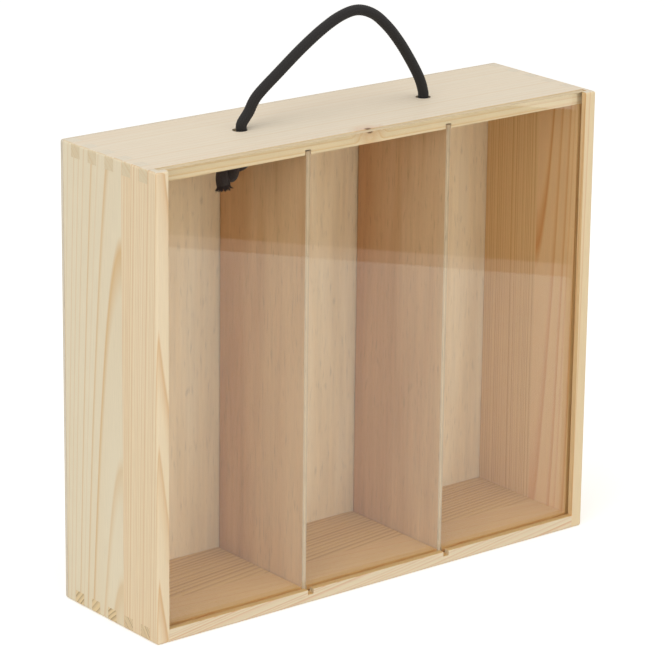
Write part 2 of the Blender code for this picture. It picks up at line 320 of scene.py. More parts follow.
# %% [markdown]
# A braid is a rule: strands wind round the cord both ways and take turns to lie on top, two over
# and two under. Geometry Nodes sweep a round profile along the route, and then move each point in
# or out by the height of whichever strand is on top there. The tree also stores a UV map, round
# the cord and along it, and the height, because the material needs both.

# %% The start and the end of every tree


def new_tree(name, **inputs):
    """A geometry tree with inputs, named by kind. Returns its adder, its inputs and its output."""
    tree = bpy.data.node_groups.new(name, "GeometryNodeTree")
    for kind, labels in {"Geometry": "Geometry", **inputs}.items():
        for label in labels.split():
            tree.interface.new_socket(label, in_out="INPUT", socket_type="NodeSocket" + kind)
    tree.interface.new_socket("Geometry", in_out="OUTPUT", socket_type="NodeSocketGeometry")
    given = tree.nodes.new("NodeGroupInput").outputs
    return adder(tree), given, tree.nodes.new("NodeGroupOutput")


def end_tree(add, shape, given, result):
    """Makes instances real, sets the material, leads the shape to the output, returns the tree."""
    real = add("RealizeInstances", shape)
    fill(result, {0: add("SetMaterial", real, None, given["Material"])})
    return result.id_data


# %% A tree that braids a cord


def braid_tree():
    add, given, result = new_tree(
        "braided cord", Float="Radius Step Strands Lay Bulge Crossing Opening Opening_Length",
        Int="Sides", Material="Material")
    line = add("MeshToCurve", given["Geometry"])
    line = add("CurveSplineType", line, spline_type="CATMULL_ROM")
    line = add("ResampleCurve", line, mode="LENGTH", sockets={"Length": given["Step"]})
    on_spline = add("SplineParameter").outputs
    reach = on_spline["Length"]
    from_end = add("Math SUBTRACT", add("SplineLength"), reach)
    from_end = add("Math MINIMUM", from_end, reach)
    opened = add("MapRange", from_end, 0.0, given["Opening_Length"], given["Opening"], 0.0,
                 interpolation_type="SMOOTHSTEP")
    kept_along = add("CaptureAttribute", line)
    for name, kind, field in (("along", "FLOAT", reach), ("opened", "FLOAT", opened),
                              ("middle", "VECTOR", add("InputPosition"))):
        kept_along.capture_items.new(kind, name)
        fill(kept_along, {name: field})
    ring = add("CurvePrimitiveCircle", sockets={
        "Resolution": given["Sides"], "Radius": given["Radius"]})
    kept_around = add("CaptureAttribute", ring)
    kept_around.capture_items.new("FLOAT", "around")
    fill(kept_around, {"around": on_spline["Factor"]})
    tube = add("CurveToMesh", sockets={
        "Curve": kept_along, "Profile Curve": kept_around, "Fill Caps": True})
    along, around = kept_along.outputs["along"], kept_around.outputs["around"]

    turns = add("Math DIVIDE", along, given["Lay"])
    on_top = add("Math MULTIPLY", around, given["Strands"])
    on_top = add("Math COSINE", add("Math MULTIPLY_ADD", on_top, math.pi, -0.75 * math.pi))
    heights = []
    for way in (-1.0, 1.0):
        place = add("Math MULTIPLY_ADD", turns, way, around)
        place = add("Math FRACT", add("Math MULTIPLY", place, given["Strands"]))
        crown = add("Math MULTIPLY", place, add("Math SUBTRACT", 1.0, place))
        crown = add("Math MULTIPLY", crown, 4.0)
        crown = add("Math MULTIPLY", crown, given["Bulge"])
        lift = add("Math MULTIPLY", on_top, given["Crossing"])
        heights.append(add("Math MULTIPLY_ADD", lift, -way, crown))
    strand = add("Math MAXIMUM", *heights)
    most = add("Math ADD", given["Bulge"], given["Crossing"])
    sunk = add("Math ADD", add("Math SUBTRACT", strand, most), kept_along.outputs["opened"])
    outward = add("VectorMath SUBTRACT", add("InputPosition"), kept_along.outputs["middle"])
    move = add("VectorMath SCALE", add("VectorMath NORMALIZE", outward), sunk)
    shaped = add("SetPosition", tube, sockets={"Offset": move})

    # The last strip round the cord runs from almost 1 back to 0, so its corners at 0 count as 1
    mean = add("FieldOnDomain FLOAT", around, domain="FACE")
    ahead = add("Math SUBTRACT", mean, around)
    wraps = add("Math GREATER_THAN", ahead, 0.25)
    whole = add("Math ADD", around, wraps)
    girth = add("Math MULTIPLY", given["Radius"], 2 * math.pi)
    across = add("Math MULTIPLY", whole, girth)
    flat = add("CombineXYZ", across, along)
    mapped = add("StoreNamedAttribute FLOAT2", shaped, domain="CORNER", sockets={
        "Name": "braid", "Value": flat})
    level = add("Math DIVIDE", strand, most)
    marked = add("StoreNamedAttribute FLOAT", mapped, domain="POINT", sockets={
        "Name": "strand_height", "Value": level})
    return end_tree(add, add("SetShadeSmooth", marked), given, result)


cord_tree = braid_tree()
print("nodes in the braid's tree:", len(cord_tree.nodes))

# %% [markdown]
# A tree is run on a holder object, whose own mesh is the tree's starting geometry. What comes out
# is kept as a plain mesh, and the holder is thrown away.

# %% A helper that runs a tree


def finished_mesh(piece):
    """What an object's modifiers make of it, as a plain mesh."""
    steps = bpy.context.evaluated_depsgraph_get()
    return bpy.data.meshes.new_from_object(
        piece.evaluated_get(steps), preserve_all_data_layers=True, depsgraph=steps)


def grow(name, tree, start, **sizes):
    """Runs a geometry tree on a starting mesh and returns the result as an object."""
    holder = new_object(name + " holder", start)
    run = holder.modifiers.new("tree", "NODES")
    run.node_group = tree
    for socket in tree.interface.items_tree:
        if socket.in_out == "INPUT" and socket.name in sizes:
            run[socket.identifier] = sizes[socket.name]
    mesh = finished_mesh(holder)
    bpy.data.objects.remove(holder)
    mesh.name = name
    print(name, "has", sum(len(face.vertices) - 2 for face in mesh.polygons), "triangles")
    return new_object(name, mesh)


def line_mesh(name, points):
    """A mesh that is only a line through the points."""
    mesh = bpy.data.meshes.new(name)
    mesh.from_pydata([tuple(p) for p in points], [(i, i + 1) for i in range(len(points) - 1)], [])
    return mesh


# %% [markdown]
# Black cotton isn't quite black: the crowns of the strands catch some light and look grey, and the
# furrows are darkest. The yarns within a strand are too fine for this view, so they are drawn 0.35
# mm apart. A wave texture repeats every 0.314 units, and on a diagonal every 0.314 times the root
# of three.

# %% Material: black braided cotton
YARN_SPACING = 0.35 * MM
FUZZ_SIZE = 0.4 * MM
WAVES_PER_UNIT = 20 / math.sqrt(3)


def new_material(name):
    """A material of nodes. Returns it with its adder and the node of its surface."""
    material = bpy.data.materials.new(name)
    material.use_nodes = True
    return material, adder(material.node_tree), material.node_tree.nodes["Principled BSDF"]


def finish_surface(add, surface, colour, roughness, strength, depth, relief):
    """Leads colour, roughness and a bump of some depth to the surface."""
    bump = add("Bump", sockets={"Strength": strength, "Distance": depth, "Height": relief})
    fill(surface, {"Base Color": colour, "Roughness": roughness, "Normal": bump})


def braided_cotton():
    material, add, surface = new_material("black braided cotton")
    braid = add("UVMap", uv_map="braid")
    height_share = add("Attribute", attribute_name="strand_height").outputs["Fac"]
    yarns = add("TexWave", wave_type="BANDS", bands_direction="DIAGONAL", sockets={
        "Vector": braid, "Scale": 1 / YARN_SPACING / WAVES_PER_UNIT, "Distortion": 1.5,
        "Detail": 2.0})
    fuzz = add("TexNoise", sockets={
        "Vector": braid, "Scale": 1 / FUZZ_SIZE, "Detail": 3.0, "Roughness": 0.7})
    # The ramp paints the crowns of the strands grey and the furrows darkest: painted highlight and
    # painted shade, mixed with the cotton's fuzz.
    crown = add("Math POWER", height_share, 1.6)
    colour = add("ValToRGB", add("Math MULTIPLY", fuzz, crown))
    for stop, position, shade in zip(
            colour.color_ramp.elements, (0.05, 0.75), ("#0C0A09", "#2A2522")):
        stop.position = position
        stop.color = linear(shade)
    texture = add("Math MULTIPLY_ADD", yarns.outputs["Fac"], 0.5, fuzz)
    finish_surface(add, surface, colour, 0.85, 0.6, 0.12 * MM, texture)
    fill(surface, {"Sheen Weight": 0.05, "Sheen Roughness": 0.5})
    return material


cotton = braided_cotton()
print("material:", cotton.name)

# %% The braided cord
cord = grow(
    "braided_cord", cord_tree, line_mesh("cord line", route), Radius=CORD_RADIUS, Step=0.33 * MM,
    Sides=72, Strands=12.0, Lay=19.0 * MM, Bulge=0.16 * MM, Crossing=0.09 * MM,
    Opening=0.9 * MM, Opening_Length=14 * MM, Material=cotton)

# %% [markdown]
# Below the knots the cord was cut with scissors, and its ends have opened into a short brush of
# fibres. A small disc closes each end of the cord, and the tree scatters fibres over the disc, each
# one a thin bent tube with its own lean and length.

# %% A tree that frays the cut ends


def fray_tree():
    add, given, result = new_tree(
        "frayed end", Float="Density Fibre_Length Fibre_Radius Lean", Int="Seed", Material="Material")
    spots = add("DistributePointsOnFaces", given["Geometry"], sockets={
        "Density": given["Density"], "Seed": given["Seed"]})
    tip = add("CombineXYZ", None, None, given["Fibre_Length"])
    knee = add("VectorMath MULTIPLY_ADD", tip, (0.5, 0.5, 0.5), (0.15 * MM, 0.1 * MM, 0))
    hair = add("CurveQuadraticBezier", 4, (0, 0, -0.4 * MM), knee, tip)
    ring = add("CurvePrimitiveCircle", sockets={
        "Resolution": 5, "Radius": given["Fibre_Radius"]})
    hair = add("CurveToMesh", hair, ring, sockets={"Fill Caps": True})
    hair = add("SetShadeSmooth", hair)
    low = add("Math MULTIPLY", given["Lean"], -1.0)
    low = add("CombineXYZ", low, low, -math.pi)
    high = add("CombineXYZ", given["Lean"], given["Lean"], math.pi)
    lean = add("RandomValue FLOAT_VECTOR", low, high, sockets={"Seed": given["Seed"]})
    turned = add("RotateRotation", spots.outputs["Rotation"],
                 add("EulerToRotation", lean), rotation_space="LOCAL")
    grown = add("RandomValue FLOAT", 0.25, 1.0, sockets={"Seed": given["Seed"]})
    fibres = add("InstanceOnPoints", spots, sockets={
        "Instance": hair, "Rotation": turned, "Scale": add("CombineXYZ", 1.0, 1.0, grown)})
    return end_tree(add, fibres, given, result)


def to_mesh(name, build):
    """A finished bmesh as a mesh."""
    mesh = bpy.data.meshes.new(name)
    build.to_mesh(mesh)
    build.free()
    return mesh


def end_discs(name, ends):
    """One mesh with a round face at each end of the cord, facing outwards."""
    build = bmesh.new()
    for tip, before in ends:
        turn = Vector(tip - before).to_track_quat("Z", "Y").to_matrix().to_4x4()
        bmesh.ops.create_circle(build, cap_ends=True, radius=CORD_RADIUS + 0.7 * MM, segments=24,
                                matrix=Matrix.Translation(Vector(tip)) @ turn)
    return to_mesh(name, build)


tips = end_discs("cord ends", [(route[0], route[2]), (route[-1], route[-3])])
fibres = grow(
    "cord_end_fibres", fray_tree(), tips, Density=4.5e6, Fibre_Length=4.0 * MM,
    Fibre_Radius=0.16 * MM, Lean=math.radians(50), Seed=3, Material=cotton)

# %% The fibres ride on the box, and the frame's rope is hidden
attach(fibres, "case")
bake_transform(cord)
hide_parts("rope_handle", "rope_knot_left", "rope_knot_right")

# %% [markdown]
# What shows on solid pine are its growth rings. In the tree they are cylinders round the pith, and
# a board is a slice through them, so how far a point is from the pith decides how dark it is. The
# pith is tilted a little against the board, as trees taper, and that turns straight stripes into
# the pointed arches of a flat-sawn face. The same rule gives the curved lines on the end grain.
# Within a ring the wood darkens slowly and turns pale at a sharp line.

# %% Material: growth rings of pine


def stretched_noise(add, place, grain, across, along, detail):
    """Noise with spots that are across wide and, in the grain's direction, along long."""
    scale = [1 / across] * 3
    scale[grain] = 1 / along
    spots = add("VectorMath MULTIPLY", place, scale)
    return add("TexNoise", sockets={"Vector": spots, "Scale": 1.0, "Detail": detail})


def growth_rings(add, place, grain, swirl, pith, lean, rings, warp=0.9, uneven=2.2):
    """How dark the growth rings make each point, from 0 to 1. Lengths are in mm.

    grain is the axis along the board, 0 for X and 2 for Z. swirl pushes the rings outwards where a
    branch was. pith is the place of the tree's middle, across the board (Y) and through it, and
    lean how far it moves that way for each mm along. rings is their spacing, or a list of their own
    radii with how dark and wide each one's latewood is. warp is how wavy they are and uneven how
    much their spacing changes.
    """
    wave = add("Math SUBTRACT", stretched_noise(add, place, grain, 24, 170, 1.5), 0.5)
    axes = add("SeparateXYZ", place).outputs
    sides = []
    for axis, middle, tilt in ((1, pith[0], lean[0]), (2 - grain, pith[1], lean[1])):
        away = add("Math SUBTRACT", axes[axis], middle)
        sides.append(add("Math MULTIPLY_ADD", axes[grain], -tilt, away))
    radius = add("VectorMath LENGTH", add("CombineXYZ", *sides))
    radius = add("Math MULTIPLY_ADD", wave, 2 * warp, radius)
    if swirl is not None:
        radius = add("Math ADD", radius, swirl)
    if isinstance(rings, tuple):
        low, high = rings[0][0] - 6, rings[-1][0] + 6
        dark = add("ValToRGB", add("MapRange", radius, low, high))
        levels = [((at - low) / (high - low), level) for ring, strong, width in rings
                  for at, level in ((ring - width, 0.12 * strong), (ring, strong), (ring + 0.22, 0.02))]
    else:
        change = add("TexNoise", noise_dimensions="1D", sockets={
            "W": radius, "Scale": 0.35 / rings, "Detail": 1.0})
        count = add("Math MULTIPLY", radius, 1 / rings)
        count = add("Math MULTIPLY_ADD", change, uneven, count)
        dark = add("ValToRGB", add("Math FRACT", count))
        levels = ((0.4, 0.06), (0.72, 0.5), (0.9, 1.0))
    stops = dark.color_ramp.elements
    for position, level in levels:
        stops.new(position).color = (level, level, level, 1)
    stops[0].color = stops[-1].color = (0, 0, 0, 1)
    if isinstance(rings, tuple):
        return dark
    strength = add("TexWhiteNoise", add("Math FLOOR", count), noise_dimensions="1D")
    strength = add("MapRange", strength, 0.0, 1.0, 0.4, 1.0)
    return add("Math MULTIPLY", dark, strength)


# %% [markdown]
# A board shows the same wood differently on each side, so the material looks at which way the
# surface faces. On the wide face the rings are cut flat and look quiet, and on the narrow front
# edge they are crowded and darker. The sawn ends soak up light. Inside the box the sides and the
# floor are tinted darker and warmer than the wood is, the floor most, and the edges behind the
# lip, the lid's groove among them, are darker too: all of this is painted shade.

# %% Material: planed and sanded pine
LIP_EDGE = 2.0
BRANCH_COLOUR = "#86603B"
HALO_COLOUR = "#F0D0B0"


def pine(name, grain, strips, inside, inner, ends, groove, outer="#FFFFFF", outer_rings=1.0,
         end_rings=1.0, end_early=None, end_late=None, branch=None):
    """Pine whose strips say where they start across the board, their colours and how they grew.

    inside is the sign of the inner face's direction. inner, ends, groove and outer tint those
    surfaces, groove also any other edge behind the lip. The inner and groove tints are painted
    shade. outer_rings and end_rings are how strongly the rings show there, end_early and end_late
    are the wood's two colours on the sawn ends, and branch is where one was, in mm.
    """
    material, add, surface = new_material(name)
    here = add("TexCoord").outputs
    place = add("VectorMath SCALE", here["Object"], 1 / MM)
    across = add("SeparateXYZ", place).outputs[1]
    fibres = stretched_noise(add, place, grain, 0.5, 16, 3.0)
    clouds = stretched_noise(add, place, grain, 30, 140, 2.0)

    normal = add("SeparateXYZ", here["Normal"]).outputs
    is_wide = add("MapRange", add("Math ABSOLUTE", normal[2 - grain]), 0.6, 0.8)
    is_end = add("MapRange", add("Math ABSOLUTE", normal[grain]), 0.6, 0.95)
    is_inner = add("Math MULTIPLY", normal[2 - grain], float(inside))
    is_inner = add("MapRange", is_inner, 0.6, 0.8)
    is_outer = add("Math SUBTRACT", is_wide, is_inner)
    loud = add("Mix FLOAT", is_outer, 1.0, outer_rings)
    loud = add("Mix FLOAT", is_end, loud, end_rings)

    swirl = None
    if branch:
        off = add("VectorMath SUBTRACT", place, branch)
        far = add("VectorMath LENGTH", add("VectorMath MULTIPLY", off, (0.6, 1.0, 1.0)))
        core = add("MapRange", far, 1.2, 1.9, 1.0, 0.0)
        halo = add("MapRange", far, 2.0, 9.0, 0.75, 0.0)
        swirl = add("MapRange", far, 1.2, 9.0, 5.5, 0.0, interpolation_type="SMOOTHSTEP")
    colour, ring = None, None
    for start, (early, late, tint), growth in strips:
        dark = growth_rings(add, place, grain, swirl, **growth)
        dark = add("Math MULTIPLY", dark, loud)
        late_wood = add("Mix RGBA", is_end, late, end_late or late)
        wood = add("Mix RGBA", clouds, early, tint)
        wood = add("Mix RGBA", is_end, wood, end_early or early)
        wood = add("Mix RGBA", dark, wood, late_wood)
        if start is None:
            colour, ring = wood, dark
            continue
        beyond = add("Math GREATER_THAN", across, start)
        colour = add("Mix RGBA", beyond, colour, wood)
        ring = add("Mix FLOAT", beyond, ring, dark)
    if branch:
        colour = add("Mix RGBA", halo, colour, HALO_COLOUR)
        colour = add("Mix RGBA", core, colour, BRANCH_COLOUR)
    # Painted shade: the edges behind the lip take the groove tint, and the faces inside the box take
    # the inner tint.
    behind = add("Math GREATER_THAN", across, front / MM + LIP_EDGE)
    tint = add("Mix RGBA", behind, "#FFFFFF", groove)
    for share, shade in ((is_wide, outer), (is_inner, inner), (is_end, ends)):
        tint = add("Mix RGBA", share, tint, shade)
    spread = add("MapRange", fibres, 0.25, 0.75, 0.95, 1.04)
    colour = add("VectorMath MULTIPLY", colour, tint)
    relief = add("Math MULTIPLY_ADD", ring, 0.8, fibres)
    rough = add("MapRange", ring, 0.0, 1.0, 0.66, 0.52)
    finish_surface(add, surface, add("VectorMath SCALE", colour, spread), rough, 0.2, 0.04 * MM, relief)
    return material


# %% [markdown]
# The side boards are glued up from two strips, one with arches and one with straight fine grain.
# The arches are given ring by ring, in millimetres: the radius, how dark the latewood is and how
# wide. Each strip starts somewhere across the board, and has a colour for its early wood, one for
# its late wood and one that clouds the early wood.

# %% The pine of each board
LEFT_ARCHES = (
    (60.91, 0.6, 0.8), (63.15, 0.55, 0.7), (67.44, 0.95, 0.9), (70.35, 0.8, 0.7), (72.6, 0.3, 0.5),
    (74.8, 0.85, 0.6), (78.1, 0.5, 0.5), (80.5, 0.5, 0.5), (83.0, 0.55, 0.5), (86.5, 0.45, 0.5))
RIGHT_FLAMES = (
    (60.04, 1.0, 0.35), (62.4, 0.7, 0.8), (65.2, 0.75, 0.8), (66.9, 0.45, 0.6), (70.0, 0.8, 1.0),
    (72.5, 0.6, 0.7), (75.5, 0.5, 0.8))
# The inner and groove tints of the boards below are painted shade. They darken the inside of the box
# and the edges behind the lip.
SIDE_LOOK = {"ends": "#F6F3F0", "groove": "#F2D7AE", "end_rings": 0.4, "end_early": "#EFE6D2"}
left_pine = pine("planed pine, left board", 2, (
    (None, ("#F4E1C0", "#DDB27E", "#EED8B2"),
     {"pith": (-299.1, -200.0), "lean": (-0.025, 0.0), "rings": 1.9}),
    (-13.4, ("#F1E5C9", "#DEB983", "#EBDCBD"),
     {"pith": (-13.4, -223.5), "lean": (0.0, -0.0325), "rings": LEFT_ARCHES, "warp": 0.3}),
), 1, inner="#FAEDD2", **SIDE_LOOK)
right_pine = pine("planed pine, right board", 2, (
    (None, ("#F2DCB5", "#DCA566", "#EDD3A7"),
     {"pith": (-4.0, 92.9), "lean": (0.0, 0.0143), "rings": RIGHT_FLAMES, "warp": 0.4}),
    (-4.0, ("#EFD9AE", "#CFA870", "#E9D0A2"),
     {"pith": (-300.0, 60.0), "lean": (0.006, 0.0), "rings": 2.1}),
), -1, inner="#FFF1DC", **SIDE_LOOK)
# The top board's colours are lighter than its wood, so that its front edge behind the lid comes out
# bright: painted light on that edge. The outer tint takes its top face back down to the wood's tone.
top_pine = pine("planed pine, top board", 0, (
    (None, ("#FCF0D8", "#EFCE9E", "#FBEAD1"),
     {"pith": (-120.0, 400.0), "lean": (0.01, 0.0), "rings": 2.6}),
), -1, inner="#FFFFFF", ends="#E6DFD0", outer="#EFEEED", groove="#F1E9D2", outer_rings=0.45,
    end_rings=0.5, branch=(-7.0, -37.8, 279.0))
# The bottom's inner tint is the darkest, painted shade on the floor of the box, and its groove tint is
# painted shade in the lid's groove.
bottom_pine = pine("planed pine, bottom board", 0, (
    (None, ("#F0E0C0", "#E1B286", "#EEDBBB"),
     {"pith": (25.5, -37.2), "lean": (-0.04, 0.06), "rings": 1.2}),
    (-8.0, ("#F1E0BA", "#BD8850", "#EBD5AC"),
     {"pith": (-60.0, -60.0), "lean": (0.02, 0.1), "rings": 2.8, "uneven": 0.7}),
), 1, inner="#EBD5AA", ends="#FBF3E6", groove="#EFC792", end_late="#93714A")
print("pine materials:", left_pine.name, right_pine.name, top_pine.name, bottom_pine.name, sep="\n")

# %% [markdown]
# A finger joint is a comb of equal notches, which is work for Geometry Nodes. The tree cuts two
# rows of notches and the board's own grooves and holes out of a blank that is larger than the box.
# Then it keeps what lies inside the box's outer form, a block with rounded edges, so that all
# boards share one sanded outside. The small gap that is left between the fingers shows as the
# joint's fine line.

# %% A tree for finger boards
JOINT_GAP = 0.06 * MM
OVERRUN = 2 * MM
ARRIS_RADIUS = 1.6 * MM


def finger_board_tree():
    add, given, result = new_tree(
        "finger board", Vector="Low High First_Notch Other_End Notch_Size Notch_Step", Int="Notches",
        Object="Outside", Material="Material")
    size = add("VectorMath SUBTRACT", given["High"], given["Low"])
    middle = add("VectorMath SCALE", add("VectorMath ADD", given["High"], given["Low"]), 0.5)
    blank = add("Transform", add("MeshCube", size), sockets={"Translation": middle})
    far = add("VectorMath ADD", given["First_Notch"], given["Other_End"])
    rows = add("JoinGeometry")
    for start in (given["First_Notch"], far):
        row = add("MeshLine", mode="OFFSET", sockets={
            "Count": given["Notches"], "Start Location": start, "Offset": given["Notch_Step"]})
        fill(rows, {0: row})
    notches = add("InstanceOnPoints", rows, sockets={
        "Instance": add("MeshCube", given["Notch_Size"])})
    cut = add("MeshBoolean DIFFERENCE", blank, solver="EXACT", sockets={
        "Self Intersection": True})
    for taken in (add("RealizeInstances", notches), given["Geometry"]):
        fill(cut, {"Mesh 2": taken})
    form = add("ObjectInfo", given["Outside"]).outputs["Geometry"]
    kept = add("MeshBoolean INTERSECT", solver="EXACT")
    for shared in (cut, form):
        fill(kept, {"Mesh 2": shared})
    return end_tree(add, kept, given, result)


board_tree = finger_board_tree()
print("nodes in the board's tree:", len(board_tree.nodes))

# %% [markdown]
# The cutters for grooves, dados and holes are plain boxes and a rod, which only ever take wood away.

# %% Cutters and the rounded outside


def box_into(build, low, high):
    """Adds a box to a mesh that is being built, from its two corners."""
    low, high = Vector(low), Vector(high)
    place = Matrix.Translation((low + high) / 2) @ Matrix.Diagonal((high - low).to_4d())
    bmesh.ops.create_cube(build, size=1.0, matrix=place)


def cutters(name, boxes, rods=()):
    """A mesh of boxes (low, high) and upright rods (centre, diameter, low, high)."""
    build = bmesh.new()
    for low, high in boxes:
        box_into(build, low, high)
    for centre, diameter, low, high in rods:
        bmesh.ops.create_cone(
            build, cap_ends=True, segments=64, radius1=diameter / 2, radius2=diameter / 2,
            depth=high - low, matrix=Matrix.Translation((*centre, (low + high) / 2)))
    return to_mesh(name, build)


def rounded_box(name, low, high, radius, segments, lean=0.0):
    """A box with all its edges rounded, sheared sideways by lean for each metre of height."""
    build = bmesh.new()
    box_into(build, low, high)
    bmesh.ops.bevel(build, geom=build.edges[:], offset=radius, segments=segments, profile=0.5,
                    affect="EDGES")
    middle = (low[2] + high[2]) / 2
    for corner in build.verts:
        corner.co.x += lean * (corner.co.z - middle)
    return new_object(name, to_mesh(name, build))


outside = rounded_box("box outside", left_low, (right_high.x, back, height), ARRIS_RADIUS, 6)
LIP_THICKNESS = 3.7 * MM
GROOVE_DEPTH = 4.0 * MM
DADO_WIDTH = 4.2 * MM
DADO_DEPTH = 3 * MM
groove_front, groove_back = front + LIP_THICKNESS, top_low.y
groove_floor = floor_top - DADO_DEPTH
groove_reach = right_low.x + GROOVE_DEPTH
DADO_SHIFT = 0.2 * MM
divider_x = [sum(corner.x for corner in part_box(name)) / 2
             for name in ("divider_left", "divider_right")]
past_end = height + 2 * OVERRUN
print("dividers at x, mm:", [round(x / MM, 1) for x in divider_x])

# %% [markdown]
# Each board is planed square, so its long inner edges are only eased with a stroke of sandpaper.
# The edges to ease are found by their place. Flat faces keep flat shading by weighted normals.

# %% Eased edges
EASING = 0.4 * MM
NEAR = 0.02 * MM


def soften(piece, lines=(), width=EASING):
    """Bevels the edges whose middles lie on the lines, each given by two of its coordinates."""
    build = bmesh.new()
    build.from_mesh(piece.data)
    bmesh.ops.dissolve_limit(build, angle_limit=math.radians(0.5), verts=build.verts[:],
                             edges=build.edges[:])
    chosen = []
    for edge in build.edges:
        middle = (edge.verts[0].co + edge.verts[1].co) / 2
        if any(all(abs(getattr(middle, axis) - value) < NEAR for axis, value in line.items())
               for line in lines):
            chosen.append(edge)
    bmesh.ops.bevel(build, geom=chosen, offset=width, segments=3, profile=0.5, affect="EDGES",
                    clamp_overlap=True)
    build.to_mesh(piece.data)
    build.free()
    piece.data.shade_smooth()
    piece.data.set_sharp_from_angle(angle=math.radians(35))
    even = piece.modifiers.new("even shading", "WEIGHTED_NORMAL")
    even.keep_sharp = True
    even.weight = 100
    mesh = finished_mesh(piece)
    piece.modifiers.remove(even)
    piece.data = mesh
    return len(chosen)


# %% The four boards


def finger_board(name, cut, lines, easing, **sizes):
    """Grows a board round its cutters and eases its edges on the lines."""
    piece = grow(name, board_tree, cut, Notch_Step=(0, 2 * pitch, 0), Outside=outside, **sizes)
    print(name, "eased edges:", soften(piece, lines, easing))
    return piece


def side_board(name, inner, side, material):
    """A side board: fingers 0, 2, 4 ... 10 at both ends and the lid's groove inside."""
    outer = inner + side * (board + OVERRUN)
    blank = sorted((inner, outer))
    groove = sorted((inner - side * OVERRUN, inner + side * GROOVE_DEPTH))
    cut = cutters(name + " cutters", [
        ((groove[0], groove_front, groove_floor), (groove[1], groove_back, past_end))])
    first = Vector(((inner + outer) / 2, front + 1.5 * pitch, (board + JOINT_GAP / 2 - OVERRUN) / 2))
    return finger_board(
        name, cut, [{"x": inner, "y": front}, {"x": inner, "y": groove_front}], EASING,
        Low=(blank[0], front - OVERRUN, -OVERRUN), High=(blank[1], frame_back, height + OVERRUN),
        First_Notch=first, Other_End=Vector((0, 0, height - 2 * first.z)), Notches=5,
        Notch_Size=Vector((board + 3 * OVERRUN, pitch + JOINT_GAP, board + OVERRUN + JOINT_GAP / 2)),
        Material=material)


def level_board(name, y_low, z_low, z_high, first_finger, notches, cut, line, easing, material):
    """The top or the bottom board: fingers 1, 3, 5, 7 and 9 at both ends."""
    reach = right_high.x
    first = Vector((-reach + (board + JOINT_GAP / 2 - OVERRUN) / 2,
                    front + (first_finger + 0.5) * pitch, (z_low + z_high) / 2))
    return finger_board(
        name, cut, [line], easing, Low=(-reach - OVERRUN, y_low, z_low),
        High=(reach + OVERRUN, frame_back, z_high), First_Notch=first,
        Other_End=Vector((-2 * first.x, 0, 0)), Notches=notches,
        Notch_Size=Vector((board + OVERRUN + JOINT_GAP / 2, pitch + JOINT_GAP, board + 3 * OVERRUN)),
        Material=material)


def dado_boxes(start, low, high):
    """The two dados' boxes, from start in front, between two heights."""
    middles = [x - DADO_SHIFT for x in divider_x]
    return [((x - DADO_WIDTH / 2, start, low), (x + DADO_WIDTH / 2, back, high)) for x in middles]


left_piece = side_board("pine_left_side", left_high.x, -1, left_pine)
right_piece = side_board("pine_right_side", right_low.x, 1, right_pine)
top_cut = cutters(
    "top cutters", dado_boxes(front - OVERRUN, ceiling - OVERRUN, ceiling + DADO_DEPTH),
    [((side * HOLE_SPACING / 2, cord_y), HOLE_DIAMETER, ceiling - OVERRUN, past_end)
     for side in (-1, 1)])
top_piece = level_board("pine_top", top_low.y, ceiling, height + OVERRUN, 2, 5, top_cut,
                        {"y": top_low.y, "z": height}, 3 * EASING, top_pine)
bottom_cut = cutters(
    "bottom cutters",
    [((-groove_reach, groove_front, groove_floor), (groove_reach, groove_back, floor_top + OVERRUN)),
     *dado_boxes(front - 2 * OVERRUN, groove_floor, floor_top + OVERRUN)])
bottom_piece = level_board("pine_bottom", bottom_low.y - OVERRUN, -OVERRUN, floor_top, 0, 6, bottom_cut,
                           {"y": front, "z": floor_top}, EASING, bottom_pine)
for piece, node in ((left_piece, "left_side_board"), (right_piece, "right_side_board"),
                    (top_piece, "top_board"), (bottom_piece, "bottom_board")):
    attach(piece, "case")
    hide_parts(node)

# %% [markdown]
# The back and the dividers are thin plywood: three veneers, the middle one with its grain across.
# On the faces the veneer is smooth and quiet, with short dark pores along the grain. On the edges
# its layers show as fine stripes.

# %% Material: plywood


